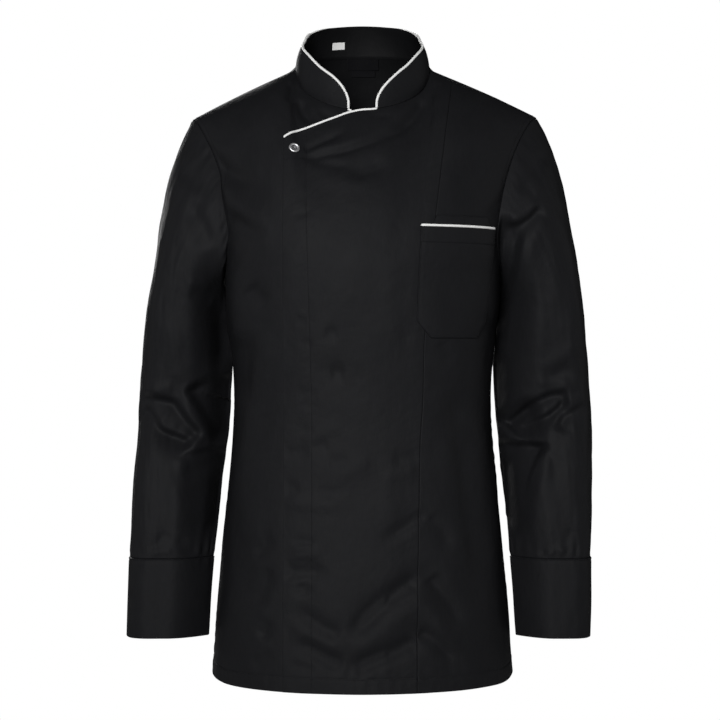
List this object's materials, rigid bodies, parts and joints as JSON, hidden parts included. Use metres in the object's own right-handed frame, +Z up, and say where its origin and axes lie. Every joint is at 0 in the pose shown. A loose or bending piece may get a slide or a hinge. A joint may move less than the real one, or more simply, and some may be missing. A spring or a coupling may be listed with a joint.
{
  "type": "chef jacket in worn shape",
  "caption": "Long-sleeved black chef jacket in its empty worn shape, with a stand collar, a slanted closing, pale piping, a ring snap and a chest pocket.",
  "frame": {"origin": "middle of the neck, level with the neck ends of the shoulder seams, where the wearer's shoulders hold the jacket", "axes": "+X is the wearer's left, -Y is the front, +Z is up along the body"},
  "size_m": [0.5804, 0.2652, 0.8232],
  "materials": {
    "twill": "black polyester and cotton twill, matt with a soft sheen",
    "piping": "pale corded piping",
    "label_black": "bare black woven label",
    "label_white": "bare pale woven label",
    "snap_metal": "bright pressed ring",
    "snap_centre": "dull sunk centre"
  },
  "bodies": {
    "root": {"back": "twill", "front_left_centre": "twill", "front_left_side": "twill", "front_right": "twill", "sleeve_left": "twill", "sleeve_right": "twill", "cuff_left": "twill", "cuff_right": "twill", "collar": "twill", "pocket_chest": "twill", "pocket_pen_slot": "twill", "piping_collar": "piping", "piping_overlap": "piping", "piping_underlap": "piping", "piping_pocket": "piping", "snap_ring": "snap_metal", "snap_centre": "snap_centre", "label_neck": "label_black", "label_size": "label_black", "label_white": "label_white"}
  },
  "joints": []
}
